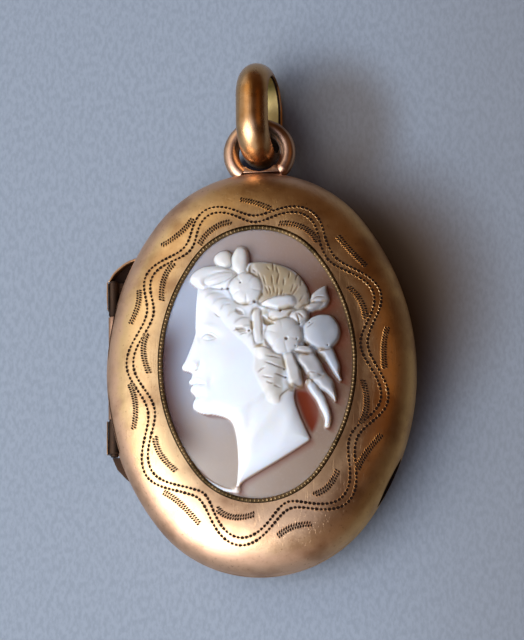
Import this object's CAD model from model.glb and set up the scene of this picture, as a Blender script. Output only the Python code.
import math
import bpy
import bmesh
import numpy as np
from mathutils import Matrix, Vector


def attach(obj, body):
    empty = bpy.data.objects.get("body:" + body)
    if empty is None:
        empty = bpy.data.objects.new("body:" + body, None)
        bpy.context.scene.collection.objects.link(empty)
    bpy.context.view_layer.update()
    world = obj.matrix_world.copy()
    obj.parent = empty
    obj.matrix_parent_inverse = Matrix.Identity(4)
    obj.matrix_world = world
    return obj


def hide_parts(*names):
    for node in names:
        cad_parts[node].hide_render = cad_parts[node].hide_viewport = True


# Oval photo locket in worn rolled gold, with a shell cameo. All lengths below are in millimetres.
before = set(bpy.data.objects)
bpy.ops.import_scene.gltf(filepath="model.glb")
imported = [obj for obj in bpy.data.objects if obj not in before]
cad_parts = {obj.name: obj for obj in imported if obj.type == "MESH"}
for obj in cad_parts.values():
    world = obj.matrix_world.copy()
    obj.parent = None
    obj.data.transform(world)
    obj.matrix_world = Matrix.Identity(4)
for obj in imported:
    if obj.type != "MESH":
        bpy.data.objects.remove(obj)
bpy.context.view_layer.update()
mm = 0.001

# an oval is half its width and half its length
caseForm = dict(
    oval=(15.5, 20.7), wall=0.5, seamZ=4.4, seamGap=0.05,
    edge=0.004, lip=0.12,    # how far in the outer edge and the inner edge of a shell's mouth lie
    backRise=4.4, frontRise=4.0, frontLevel=6.8, backLevel=8.5, power=2.2,
)
caseOval, apertureOval = caseForm["oval"], (9.88, 14.23)
seamZ = caseForm["seamZ"]
frontZ = seamZ + caseForm["seamGap"]
circle = 2 * math.pi


def ovalRadii(w, l):
    # of the arcs at an oval's ends and sides, which meet where the outline faces (0.8, 0.6)
    end = (3 * w - l) / 2
    return end, end + (l - w) / 0.4


def ovalPoint(w, l, turn, inset=0.0):
    # turn is the direction that the outline faces there, and inset is measured straight inwards
    end, side = ovalRadii(w, l)
    c, s = np.abs(np.cos(turn)), np.abs(np.sin(turn))
    onSide = c >= 0.8
    r = np.where(onSide, side, end) - inset
    x = np.where(np.cos(turn) < 0, -1, 1) * (np.where(onSide, w - side, 0) + r * c)
    y = np.where(np.sin(turn) < 0, -1, 1) * (np.where(onSide, 0, l - end) + r * s)
    return x, y


def ovalHalfWidth(w, l, y):
    end, side = ovalRadii(w, l)
    a = np.abs(y)
    flank = np.sqrt(np.maximum(side * side - a * a, 0)) - side + w
    tip = np.sqrt(np.maximum(end * end - (a - l + end) ** 2, 0))
    return np.where(a < side * 0.6, flank, tip)


def ovalRun(w, l):
    fine = np.linspace(0, circle, 7201)
    x, y = ovalPoint(w, l, fine)
    run = np.concatenate([[0], np.cumsum(np.hypot(np.diff(x), np.diff(y)))])
    return fine, run


def turnAt(share):
    # where a share of the way round the case's outline is, from its right side towards the bail
    fine, run = ovalRun(*caseOval)
    return np.interp(np.mod(share, 1.0) * run[-1], run, fine)


def evenTurns(count):
    return turnAt(np.arange(count) / count)


def domeHeight(inset, level, rise, start=0.0):
    rest = np.maximum(0, 1 - (inset - start) / (level - start))
    power = caseForm["power"]
    return rise * (1 - rest ** power) ** (1 / power)


def frontTop(turn, inset, lift):
    # a point on the front half's dome, and the direction the dome faces there

    def at(t, d):
        x, y = ovalPoint(*caseOval, t, d)
        return np.stack([x, y, frontZ + domeHeight(d, caseForm["frontLevel"], caseForm["frontRise"])], -1)

    step = 1e-4
    here = at(turn, inset)
    facing = np.cross(at(turn, inset + step) - here, at(turn + step, inset) - here)
    facing /= np.linalg.norm(facing, axis=-1, keepdims=True)
    facing *= np.where(facing[..., 2:] < 0, -1, 1)
    return here + facing * lift, facing


def addMesh(name, points, faces, materials, smooth=True, fixNormals=True):
    mesh = bpy.data.meshes.new(name)
    mesh.from_pydata((np.asarray(points, float) * mm).tolist(), [], faces)
    if fixNormals:
        work = bmesh.new()
        work.from_mesh(mesh)
        bmesh.ops.remove_doubles(work, verts=work.verts, dist=1e-7)
        bmesh.ops.recalc_face_normals(work, faces=work.faces)
        work.to_mesh(mesh)
        work.free()
    for material in materials:
        mesh.materials.append(material)
    mesh.polygons.foreach_set("use_smooth", [smooth] * len(mesh.polygons))
    piece = bpy.data.objects.new(name, mesh)
    bpy.context.scene.collection.objects.link(piece)
    return piece


def gridFaces(rows, columns, closeRows=False, closeColumns=False):
    # quads over a grid whose points run column by column within each row
    lastRow = rows if closeRows else rows - 1
    lastColumn = columns if closeColumns else columns - 1
    r, c = np.meshgrid(np.arange(lastRow), np.arange(lastColumn), indexing="ij")
    r2, c2 = (r + 1) % rows, (c + 1) % columns
    quads = np.stack([r * columns + c, r * columns + c2, r2 * columns + c2, r2 * columns + c], -1)
    return quads.reshape(-1, 4).tolist()


def loft(name, rings, materials, closed=False, smooth=True):
    # skin over rings with the same number of points; an open one gets flat ends
    rings = np.asarray(rings, float)
    rows, count = rings.shape[:2]
    faces = gridFaces(rows, count, closed, True)
    if not closed:
        faces += [list(range(count))[::-1], list(range((rows - 1) * count, rows * count))]
    return addMesh(name, rings.reshape(-1, 3), faces, materials, smooth)


def sweepOval(name, oval, turns, profile, materials):
    # profile: inset and height of each point of the closed section, one number or one for every turn
    rings = [np.stack([*ovalPoint(*oval, turns, inset), np.broadcast_to(z, turns.shape)], -1) for inset, z in profile]
    return loft(name, rings, materials, closed=True)


def prism(name, outline, low, high, materials):
    return loft(name, [[(x, y, z) for x, y in outline] for z in (low, high)], materials, smooth=False)


def rod(name, radius, start, end, materials, sides=64):
    aim = (Vector(end) - Vector(start)).to_track_quat("Z", "Y").to_matrix()
    ring = [aim @ Vector((radius * math.cos(a), radius * math.sin(a), 0))
            for a in np.linspace(0, circle, sides, endpoint=False)]
    return loft(name, [[tuple(Vector(at) + p) for p in ring] for at in (start, end)], materials)


def freeze(piece):
    # turns the piece with its modifiers into a plain mesh
    graph = bpy.context.evaluated_depsgraph_get()
    done = bpy.data.meshes.new_from_object(piece.evaluated_get(graph))
    old = piece.data
    piece.modifiers.clear()
    piece.data = done
    done.name = piece.name
    if old.users == 0:
        bpy.data.meshes.remove(old)
    return piece


def combine(piece, tool, operation="DIFFERENCE"):
    change = piece.modifiers.new(operation, "BOOLEAN")
    change.operation, change.object, change.solver = operation, tool, "EXACT"
    freeze(piece)
    bpy.data.objects.remove(tool)
    return piece


def bevel(piece, width):
    edge = piece.modifiers.new("bevel", "BEVEL")
    edge.width, edge.segments = width * mm, 2
    edge.limit_method, edge.angle_limit = "ANGLE", math.radians(35)
    return freeze(piece)


def join(name, pieces):
    with bpy.context.temp_override(active_object=pieces[0], selected_editable_objects=pieces):
        bpy.ops.object.join()
    pieces[0].name = pieces[0].data.name = name
    return pieces[0]


def sharpen(piece, angle=40):
    piece.data.set_sharp_from_angle(angle=math.radians(angle))
    return piece


def settle(piece, body, slot, *nodes):
    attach(piece, body)
    if nodes:
        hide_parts(*nodes)
    return piece


def linear(hexText):
    # sRGB hex to the linear colour that a socket takes
    parts = [int(hexText[i:i + 2], 16) / 255 for i in (1, 3, 5)]
    return [p / 12.92 if p <= 0.04045 else ((p + 0.055) / 1.055) ** 2.4 for p in parts] + [1.0]


def nodeAdder(tree):
    # clears a tree and gives the function that adds a node to it with its settings and links
    tree.nodes.clear()

    def add(kind, *values, out=0, named=None, **settings):
        # values go to the inputs in use in their order, named ones to the inputs named; "#" starts an sRGB colour
        node = tree.nodes.new(kind if "Node" in kind else "ShaderNode" + kind)
        for key, value in settings.items():
            setattr(node, key, value)
        sockets = [*zip([s for s in node.inputs if s.enabled], values)]
        for socket, value in sockets + [(node.inputs[key], value) for key, value in (named or {}).items()]:
            if isinstance(value, bpy.types.NodeSocket):
                tree.links.new(value, socket)
            else:
                isColour = isinstance(value, str) and value.startswith("#")
                socket.default_value = linear(value) if isColour else value
        outputs = [s for s in node.outputs if s.enabled]
        return next((s for s in outputs if s.name == out), outputs[0] if outputs else node)

    return add


# settings that many nodes share
smooth = dict(interpolation_type="SMOOTHSTEP")
colours = dict(data_type="RGBA")
seeded = dict(noise_dimensions="4D")    # its values: place, seed, cells to the mm, detail, roughness
times, plus, minus = (dict(operation=name) for name in ("MULTIPLY", "ADD", "SUBTRACT"))


def newMaterial(name):
    # gives its adder, the place in millimetres, and that place's x, y and z
    material = bpy.data.materials.new(name)
    material.use_nodes = True
    add = nodeAdder(material.node_tree)
    place = add("VectorMath", add("TexCoord", out="Object"), (1 / mm, 1 / mm, 1 / mm), **times)
    return material, add, place, *add("SeparateXYZ", place).node.outputs


goldLook = dict(
    yellow="#DDB67E",      # rolled gold sheet where it isn't worn
    rose="#D9AD8A", sideGold="#CFA263",        # where rubbing has thinned it to its coppery base
    tarnish="#85532D",     # brown film in the hollows
    grime="#6E4522",       # the same beside the setting
    rough=0.29, roughSide=0.4, roughSpread=0.06,
    uneven=1.4, roseBelow=3.0, roseAbove=3.85,   # height over the seam where the worn side passes into the top
    scratchPitch=0.14, scratchTurns=(0.4, 1.3, 2.3), pitSize=0.25,
)


def rolledGold(name, rosy=0.0, dull=0.0, film=goldLook["tarnish"], rough=goldLook["rough"], sideWear=False):
    # polished rolled gold, rubbed for a century: fine criss-cross hairlines, pits, rosy edges, brown film
    g = goldLook
    material, add, place, x, y, z = newMaterial(name)
    cloudy = add("TexNoise", place, 1.0 / mm, 0.2, 4, 0.55, **seeded)
    patchy = add("TexNoise", place, 4.0 / mm, 0.7, 5, 0.6, **seeded)
    fine = add("TexNoise", place, 7.0 / mm, 3.2, 3, 0.6, **seeded)
    colour = add("Mix", rosy, g["yellow"], g["rose"], **colours)
    rough += 0.1 * dull
    rough = add("MapRange", patchy, 0.3, 0.7, rough, rough + g["roughSpread"], **smooth)
    if sideWear:
        height = add("Math", z, add("Math", patchy, g["uneven"], **times), **plus)
        side = add("MapRange", height, seamZ + g["roseBelow"], seamZ + g["roseAbove"], 0.9, 0.0, **smooth)
        # the lower end has been rubbed most, and the right side is less rosy than the left
        colour = add("Mix", add("MapRange", y, -8, -17, 0.0, 0.4, **smooth), colour, g["rose"], **colours)
        right = add("MapRange", x, 3, 11, **smooth)
        colour = add("Mix", side, colour, add("Mix", right, g["rose"], g["sideGold"], **colours), **colours)
        # and has more grime beside the setting
        beside = add("VectorMath", place, (1 / apertureOval[0], 1 / apertureOval[1], 0), **times)
        beside = add("MapRange", add("VectorMath", beside, operation="LENGTH"), 1.12, 1.03, 0.0, 0.8, **smooth)
        colour = add("Mix", add("Math", beside, right, **times), colour, g["grime"], **colours)
        rough = add("Math", rough, add("Math", side, g["roughSide"] - g["rough"], **times), **plus)
    thick = add("MapRange", cloudy, 0.44, 0.67, 0.5 * dull, min(1.0, 0.58 + 0.5 * dull), **smooth)
    colour = add("Mix", thick, colour, film, **colours)
    colour = add("Mix", add("MapRange", fine, 0.58, 0.76, 0.0, 0.55, **smooth), colour, g["tarnish"], **colours)
    scratches = 0.0
    for index, turn in enumerate(g["scratchTurns"]):
        lines = add("Mapping", place, (0, 0, 0), (0, 0, turn), (1.0, 0.035, 1.0))
        lines = add("TexNoise", lines, (11.0 + index) / mm, 1 / g["scratchPitch"], 2, 0.5, **seeded)
        scratches = add("Math", scratches, add("MapRange", lines, 0.64, 0.72, **smooth), operation="MAXIMUM")
    pits = add("MapRange", add("TexNoise", place, 21.0 / mm, 1 / g["pitSize"], 2, 0.5, **seeded), 0.7, 0.8, **smooth)
    cuts = add("Math", add("Math", scratches, 0.35, **times), pits, **plus)
    relief = add("Math", add("Math", patchy, 2.1, **times), cuts, **minus)
    add("OutputMaterial", add("BsdfPrincipled", named={
        "Base Color": colour, "Roughness": rough, "Metallic": 1.0,
        "Normal": add("Bump", 0.42, 0.03 * mm, named={"Height": relief})}))
    return material


def oxide():
    # black oxide and old polish packed into the cuts: no shine
    material, add, place, *_ = newMaterial("oxideInCuts")
    grain = add("TexNoise", place, 2.0 / mm, 2.5, 3, 0.6, **seeded)
    add("OutputMaterial", add("BsdfPrincipled", named={
        "Base Color": add("Mix", grain, "#0E0703", "#261406", **colours), "Roughness": 0.8,
        "Specular IOR Level": 0.1}))
    return material


shellLayers = ("white", "dirt", "tan", "rust", "shade")


def carvedShell():
    # helmet shell: a white outer layer carved over a lilac to rusty ground, which shows where the white is thin
    material, add, place, x, y, _ = newMaterial("carvedHelmetShell")
    white, dirt, tan, rust, shade = (add("Attribute", out="Fac", attribute_name=name) for name in shellLayers)
    cloudy = add("TexNoise", place, 3.0 / mm, 0.25, 4, 0.6, **seeded)
    fine = add("TexNoise", place, 5.0 / mm, 4.0, 4, 0.6, **seeded)
    # the ground turns from grey lilac at the left to brown at the right, and is milkier low down
    drift = add("Math", add("Math", cloudy, 0.5, **minus), 7, **times)
    across = add("MapRange", add("Math", x, drift, **plus), -7, 7.5, **smooth)
    down = add("MapRange", add("Math", y, drift, **plus), 1, -10, **smooth)
    ground = add("Mix", down, add("Mix", across, "#9BA2AB", "#6E4D36", **colours),
                 add("Mix", across, "#A69A8A", "#93806C", **colours), **colours)
    top, speckled = add("MapRange", y, 7, 12.5, 0.0, 0.6, **smooth), add("MapRange", fine, 0.5, 0.8, 0.0, 0.2, **smooth)
    for share, stain in ((top, "#A8937F"), (speckled, "#B5A69E"), (shade, "#4A302A"), (rust, "#6E2808")):
        ground = add("Mix", share, ground, stain, **colours)
    # the wreath is greyer to the right, the neck stays white
    grey = add("Math", add("MapRange", x, 0.5, 7.0, 0.0, 0.95, **smooth),
               add("MapRange", y, -5.5, -2.5, 0.25, 1.0, **smooth), **times)
    carved = add("Mix", add("MapRange", cloudy, 0.35, 0.7, **smooth), "#D8DFE1", "#D9DBD5", **colours)
    carved = add("Mix", grey, carved, "#9DA4A7", **colours)
    thin = add("Mix", white, ground, "#C9AE93", **colours)
    colour = add("Mix", add("MapRange", white, 0.35, 0.9, **smooth), thin, carved, **colours)
    tanned = add("Mix", add("MapRange", x, 0.5, 7.0, **smooth), "#A28D5C", "#8F7A58", **colours)
    colour = add("Mix", dirt, add("Mix", tan, colour, tanned, **colours), "#6E5028", **colours)
    # the ground has less gloss than the relief, and its browned edge has none
    gloss = add("Math", add("MapRange", shade, 0.0, 0.7, 1.0, 0.1, **smooth),
                add("MapRange", white, 0.2, 0.8, 0.45, 1.0, **smooth), **times)
    add("OutputMaterial", add("BsdfPrincipled", named={
        "Base Color": colour, "Roughness": 0.38, "IOR": 1.53, "Subsurface Weight": 0.85,
        "Subsurface Radius": (1.0, 0.7, 0.5), "Subsurface Scale": 1.0 * mm, "Coat Roughness": 0.2,
        "Specular IOR Level": add("Math", gloss, 0.5, **times), "Coat Weight": add("Math", gloss, 0.2, **times),
        "Normal": add("Bump", 0.15, 0.02 * mm, named={"Height": fine})}))
    return material


caseGold = rolledGold("wornRolledGold", sideWear=True)
# how rosy and how dull each is, its film and its roughness
roseGold = rolledGold("wornRoseGold", 0.3, 0.8, "#A5713A", 0.18)                # brown gold of the bail
hingeGold = rolledGold("blackenedHingeMetal", 0.8, 1.9, "#30241C", 0.35)        # nearly black, with a dull gleam
hingeRose = rolledGold("rubbedHingeKnuckle", 1.0, 0.7, "#6B4C38", 0.36)         # pink where the hand rubs it
loopRose = rolledGold("scratchedLoopWire", 0.85, 0.5, "#7A5640", 0.24)          # pinkish brown wire
milledGold = rolledGold("milledSettingGold", 0.0, 1.2, "#33280F")               # glints over black
settingWall = rolledGold("darkenedSettingGold", 0.0, 1.6, "#2E2411", 0.4)
innerGold = rolledGold("brightInnerGold", 0.1)                                  # kept bright inside
bandInside = rolledGold("unpolishedBandInside", 0.0, 1.0, "#7F8244", 0.38)      # greenish
cutOxide = oxide()
shellStone = carvedShell()
print("materials made")

# camera: the photograph looks down from 16 degrees towards the lower end and 5 to the right
cameraView = dict(tiltDown=16.2, tiltRight=5.05, roll=-0.9, distance=430.0, seenHeight=63.63,
                  rightOfCase=0.1, aboveCase=5.31)


def placeCamera():
    down, right = math.radians(cameraView["tiltDown"]), math.radians(cameraView["tiltRight"])
    towards = Vector((math.sin(right), -math.sin(down) * math.cos(right), math.cos(down) * math.cos(right)))
    up = (Vector((0, 1, 0)) - towards * towards.y).normalized()
    up = Matrix.Rotation(math.radians(cameraView["roll"]), 3, towards) @ up
    rightward = up.cross(towards)
    middle = Vector((0, 0, seamZ)) + up * cameraView["aboveCase"] + rightward * cameraView["rightOfCase"]
    data = bpy.data.cameras.new("camera")
    data.sensor_fit = "VERTICAL"
    data.sensor_height = 24.0
    data.lens = 24.0 * cameraView["distance"] / cameraView["seenHeight"]
    data.clip_start, data.clip_end = 0.01, 5.0
    camera = bpy.data.objects.new("camera", data)
    turn = Matrix((rightward, up, towards)).transposed()
    camera.matrix_world = Matrix.Translation((middle + towards * cameraView["distance"]) * mm) @ turn.to_4x4()
    bpy.context.scene.collection.objects.link(camera)
    bpy.context.scene.camera = camera


placeCamera()

roomLight = dict(
    windowFrom=(-0.58, -0.42, 0.7), windowAway=420.0, windowSize=370.0, windowPower=2.3, windowColour="#F6F7FF",
    # the room is dark at the right and bright at the left; yShare slants the line between
    darkSide="#2E1A0A", farSide="#563A20", nearSide="#6B4E33", midSide="#8C6F49", brightSide="#E7EDFC",
    darkFrom=-0.3, midAt=-0.02, brightFrom=0.24, yShare=0.36, strength=0.95,
    # lighter places: where they are, from which nearness to which they fade in, and their colour
    patch=((0.65, 0.15, 0.74), 0.93, 0.985, "#9C6C3A"), warm=((-0.51, 0.51, 0.69), 0.92, 0.985, "#F2DDB4"),
    sky=((-0.41875, -0.2991, 0.85743), 0.7, 0.92, "#9DB5FA"), skyStrength=1.1,
)


def lightRoom():
    r = roomLight
    aim = Vector(r["windowFrom"]).normalized()
    data = bpy.data.lights.new("window", "AREA")
    data.shape, data.size, data.energy = "SQUARE", r["windowSize"] * mm, r["windowPower"]
    data.color = linear(r["windowColour"])[:3]
    window = bpy.data.objects.new("window", data)
    window.matrix_world = (Matrix.Translation(aim * r["windowAway"] * mm)
                           @ aim.to_track_quat("Z", "Y").to_matrix().to_4x4())
    bpy.context.scene.collection.objects.link(window)
    world = bpy.data.worlds.new("room")
    world.use_nodes = True
    add = nodeAdder(world.node_tree)
    facing = add("TexCoord", out="Generated")
    x, y, _ = add("SeparateXYZ", facing).node.outputs

    def lighten(colour, towards, none, full, light, blend="MIX"):
        near = add("VectorMath", facing, towards, operation="DOT_PRODUCT")
        return add("Mix", add("MapRange", near, none, full, **smooth), colour, light, blend_type=blend, **colours)

    colour = add("Mix", add("MapRange", y, -0.1, 0.8, **smooth), r["darkSide"], r["farSide"], **colours)
    colour = add("Mix", add("MapRange", y, -0.2, -0.7, **smooth), colour, r["nearSide"], **colours)
    colour = lighten(colour, *r["patch"])
    leftward = add("Math", add("Math", y, -r["yShare"], **times), x, **minus)
    for low, high, side in (("darkFrom", "midAt", "midSide"), ("midAt", "brightFrom", "brightSide")):
        colour = add("Mix", add("MapRange", leftward, r[low], r[high], **smooth), colour, r[side], **colours)
    # sky glow over the window, and a warm one at the upper left
    sky = [value * r["skyStrength"] for value in linear(r["sky"][3])[:3]] + [1]
    colour = lighten(lighten(colour, *r["sky"][:3], sky, "ADD"), *r["warm"], "ADD")
    add("OutputWorld", add("Background", colour, r["strength"]))
    bpy.context.scene.world = world


lightRoom()
bpy.context.scene.view_settings.view_transform = "Standard"

floorForm = dict(half=600.0, colour="#8D969B", speckle="#838C91", shaded="#5E554A",
                 # middle, reach and strength of the places where the locket keeps the light off
                 dulled=((8.5, 9.0, 19.0, 19.0, 1.0, "#54432F"), (8.0, 27.0, 8.5, 10.0, 0.6, "#564630"),
                         (0.2, 22.4, 3.2, 3.0, 0.98, "#12111A"), (-1.4, 22.8, 2.2, 2.4, 0.98, "#12111A")))


def layFloor():
    f, half = floorForm, floorForm["half"]
    material, add, place, x, *_ = newMaterial("paleCard")
    grain = add("TexNoise", add("Mapping", place, (0, 0, 0), (0, 0, 0.7), (1.0, 0.5, 1.0)), 8.0 / mm, 2.6, 3, 0.6,
                **seeded)
    colour = add("Mix", add("MapRange", grain, 0.38, 0.64, **smooth), f["colour"], f["speckle"], **colours)
    colour = add("Mix", add("MapRange", x, 4, 28, 0.0, 0.3, **smooth), colour, f["shaded"], **colours)
    for atX, atY, wide, high, strength, shaded in f["dulled"]:
        off = add("VectorMath", add("VectorMath", place, (atX, atY, 0), **minus), (1 / wide, 1 / high, 0), **times)
        far = add("VectorMath", off, operation="LENGTH")
        colour = add("Mix", add("MapRange", far, 1.0, 0.35, 0.0, strength, **smooth), colour, shaded, **colours)
    add("OutputMaterial", add("BsdfPrincipled", named={
        "Base Color": colour, "Roughness": 0.9, "Specular IOR Level": 0.2}))
    corners = [(-half, -half, 0), (half, -half, 0), (half, half, 0), (-half, half, 0)]
    addMesh("floor", corners, [[0, 1, 2, 3]], [material], False, False)


layFloor()
print("camera, light and floor placed")

# hinge axis, and the room both halves leave round it
hingeForm = dict(
    reach=14.7, low=-7.8, high=10.0, knuckle=0.62, slimming=0.028, ease=0.08, bore=0.42, knuckles=5, gap=0.1,
    relief=1.35, bearing=0.25, bearingInset=0.3,
    bearingTurns=(8, 104), webTurns=(12, 50),    # degrees from the seam
)


def cutHingeRoom(shell):
    h = hingeForm
    ends = [(-h["reach"], y, seamZ) for y in (h["low"] - h["gap"], h["high"] + h["gap"])]
    return combine(shell, rod("tool", h["relief"], *ends, []))


def hingeSector(name, side, span, inner, outer, low, high):
    turns = np.radians(side * np.linspace(*span, (span[1] - span[0]) // 4 + 2))
    corners = [(inner, low), (outer, low), (outer, high), (inner, high)]
    return loft(name, [[(-hingeForm["reach"] + r * math.cos(t), y, seamZ + r * math.sin(t)) for r, y in corners]
                       for t in turns], [hingeGold])


def knuckleRow(name, first, side):
    # the middle knuckles are rubbed bright with the case, the end ones stay black
    h = hingeForm
    pitch = (h["high"] - h["low"] + h["gap"]) / h["knuckles"]
    around = np.linspace(0, circle, 48, endpoint=False)
    parts = []
    for index in range(first, h["knuckles"], 2):
        low = h["low"] + index * pitch
        high = low + pitch - h["gap"]
        radius, ease = h["knuckle"] - h["slimming"] * index, h["ease"]
        rings = [(h["bore"], low), (radius - ease, low), (radius, low + ease),
                 (radius, high - ease), (radius - ease, high), (h["bore"], high)]
        material = hingeRose if 0 < index < h["knuckles"] - 1 else hingeGold
        parts.append(loft("knuckle", [[(-h["reach"] + r * math.cos(a), y, seamZ + r * math.sin(a)) for a in around]
                                      for r, y in rings], [material], closed=True))
        parts.append(hingeSector("web", side, h["webTurns"], (h["bore"] + h["knuckle"]) / 2,
                                 h["relief"] + h["bearing"] / 2, low + 0.01, high - 0.01))
    bearing = hingeSector("bearing", side, h["bearingTurns"], h["relief"], h["relief"] + h["bearing"],
                          h["low"], h["high"])
    radius = ovalRadii(*caseOval)[1]
    middle = radius - caseOval[0]
    tool = rod("tool", radius - h["bearingInset"], (middle, 0, -1), (middle, 0, 12), [], sides=512)
    parts.append(combine(bearing, tool, "INTERSECT"))
    return sharpen(join(name, parts))


# front half: dome with the opening for the cameo, engraved

def apertureInset(turns):
    # how far in from the outline the edge of the opening lies
    low, high = np.full(turns.shape, 3.0), np.full(turns.shape, 6.7)
    for _ in range(40):
        middle = (low + high) / 2
        x, y = ovalPoint(*caseOval, turns, middle)
        outside = np.abs(x) > ovalHalfWidth(*apertureOval, y)
        outside |= np.abs(y) > apertureOval[1]
        low, high = np.where(outside, middle, low), np.where(outside, high, middle)
    return (low + high) / 2


frontForm = dict(around=720, topRows=44, innerRows=16)
# the thumbnail notch, deep in the front half and shallow in the back one; it is cut with a lying rod
notchForm = dict(turn=-27, radius=5.4, high=1.0, wide=1.6, backRadius=11, backDeep=0.45, backWide=2, blackReach=3.6)


def notchPlace():
    # the way the notch faces, and its middle on the outline
    side = ovalRadii(*caseOval)[1]
    turn = math.radians(notchForm["turn"])
    out = Vector((math.cos(turn), math.sin(turn), 0))
    return out, Vector((caseOval[0] - side, 0, seamZ)) + out * side


def cutNotch(shell, radius, overSeam, wide, sides):
    # what it cuts is black
    out, middle = notchPlace()
    middle.z += overSeam
    tool = rod("tool", radius, middle - out * wide / 2, middle + out * wide / 2, [caseGold, cutOxide], sides)
    tool.data.polygons.foreach_set("material_index", [1] * len(tool.data.polygons))
    return combine(shell, tool)


def makeFrontShell():
    turns = evenTurns(frontForm["around"])
    opening = apertureInset(turns)
    edge, wall, level, rise = (caseForm[key] for key in ("edge", "wall", "frontLevel", "frontRise"))
    profile = []
    for share in np.linspace(0, 1, frontForm["topRows"]) ** 2:
        inset = edge + (opening - edge) * share
        profile.append((inset, frontZ + domeHeight(inset, level, rise)))
    for share in np.linspace(1, 0, frontForm["innerRows"]) ** 2:
        inset = wall + (opening - wall) * share
        profile.append((inset, frontZ + domeHeight(inset, level, rise - wall, wall)))
    profile.append((caseForm["lip"], frontZ))
    shell = sweepOval("frontShell", caseOval, turns, profile, [caseGold, cutOxide])
    cutHingeRoom(shell)
    n = notchForm
    cutNotch(shell, n["radius"], n["high"] - n["radius"], n["wide"], 128)
    return settle(sharpen(shell), "front", "case_metal", "front_cover")


makeFrontShell()
settle(knuckleRow("frontKnuckles", 1, 1), "front", "case_metal", "front_cover")
print("front half made")

# engraving: two dashed lines in nine waves, with a wriggle-cut crescent in every bay
engraving = dict(
    # where the outer line turns back: ninths of the way round, and how far in from the outline
    turns=((0.14, 4.5), (0.62, 2.15), (1.10, 4.8), (1.62, 3.35), (2.25, 5.5), (2.81, 3.2), (3.24, 4.55), (3.64, 2.4),
           (3.99, 3.85), (4.44, 2.45), (4.91, 4.15), (5.42, 1.75), (5.94, 4.65), (6.53, 2.3), (7.15, 5.2), (7.73, 2.1),
           (8.22, 4.25), (8.64, 2.35)),
    lift=0.004, lineApart=0.7, dashPitch=0.42, dashLength=0.4, dashWidth=0.3, burr=0.02,
    # start, middle and end of the crescent in every bay
    crescents=(((-0.08, 2.95), (0.12, 2.95), (0.28, 2.4)), ((0.87, 2.5), (1.04, 3.05), (1.22, 3.3)),
               ((2.05, 4.7), (2.22, 4.2), (2.40, 3.6)), ((2.96, 3.15), (3.15, 3.25), (3.33, 2.4)),
               ((3.78, 2.3), (3.92, 2.7), (4.08, 2.4)), ((4.63, 2.75), (4.83, 3.05), (5.02, 2.35)),
               ((5.65, 2.4), (5.85, 3.05), (6.10, 2.85)), ((6.93, 3.1), (7.10, 3.5), (7.28, 3.0)),
               ((7.97, 3.0), (8.13, 2.95), (8.33, 2.25)), ((0.40, 4.3), (0.56, 4.3), (0.73, 4.9)),
               ((1.30, 5.3), (1.55, 5.25), (1.88, 6.0)), ((2.60, 5.65), (2.85, 5.4), (3.13, 5.65)),
               ((3.45, 4.5), (3.62, 4.35), (3.82, 4.95)), ((4.18, 4.3), (4.34, 4.15), (4.55, 4.75)),
               ((5.18, 4.1), (5.34, 3.95), (5.55, 4.5)), ((6.20, 4.95), (6.40, 4.75), (6.67, 5.35)),
               ((7.52, 5.0), (7.70, 4.5), (7.87, 4.6)), ((8.38, 4.4), (8.56, 4.3), (8.78, 5.0))),
    hatchPitch=0.25, strokeLength=0.4, strokeWidth=0.2, rowsApart=0.27, strokeSlant=22,
)


def waveInset(ninths, offset):
    stops = list(engraving["turns"])
    stops = [(stops[-1][0] - 9, stops[-1][1])] + stops + [(stops[0][0] + 9, stops[0][1])]
    places, insets = np.array(stops).T
    index = np.clip(np.searchsorted(places, ninths, side="right") - 1, 0, len(places) - 2)
    share = (ninths - places[index]) / (places[index + 1] - places[index])
    return insets[index] + (insets[index + 1] - insets[index]) * (1 - np.cos(share * math.pi)) / 2 + offset


def cutMark(name, length, width, burr):
    # a boat-shaped cut: raised burr round it in the metal, dark floor inside, flat underneath
    around = np.linspace(0, circle, 8, endpoint=False)
    along, across = np.cos(around), np.sin(around) * (1 - 0.35 * np.cos(around))
    rings = [[(a * (length / 2 + s), c * (width / 2 + s), z) for a, c in zip(along, across)]
             for s, z in ((0.06, -0.03), (0.025, burr), (0.0, burr), (-0.02, burr * 0.4))]
    mark = loft(name, rings, [cutOxide, caseGold], smooth=False)
    # two bands of metal, one of the dark inside, then the underside and the floor
    mark.data.polygons.foreach_set("material_index", [1] * 16 + [0] * 8 + [1, 0])
    return mark


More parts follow.
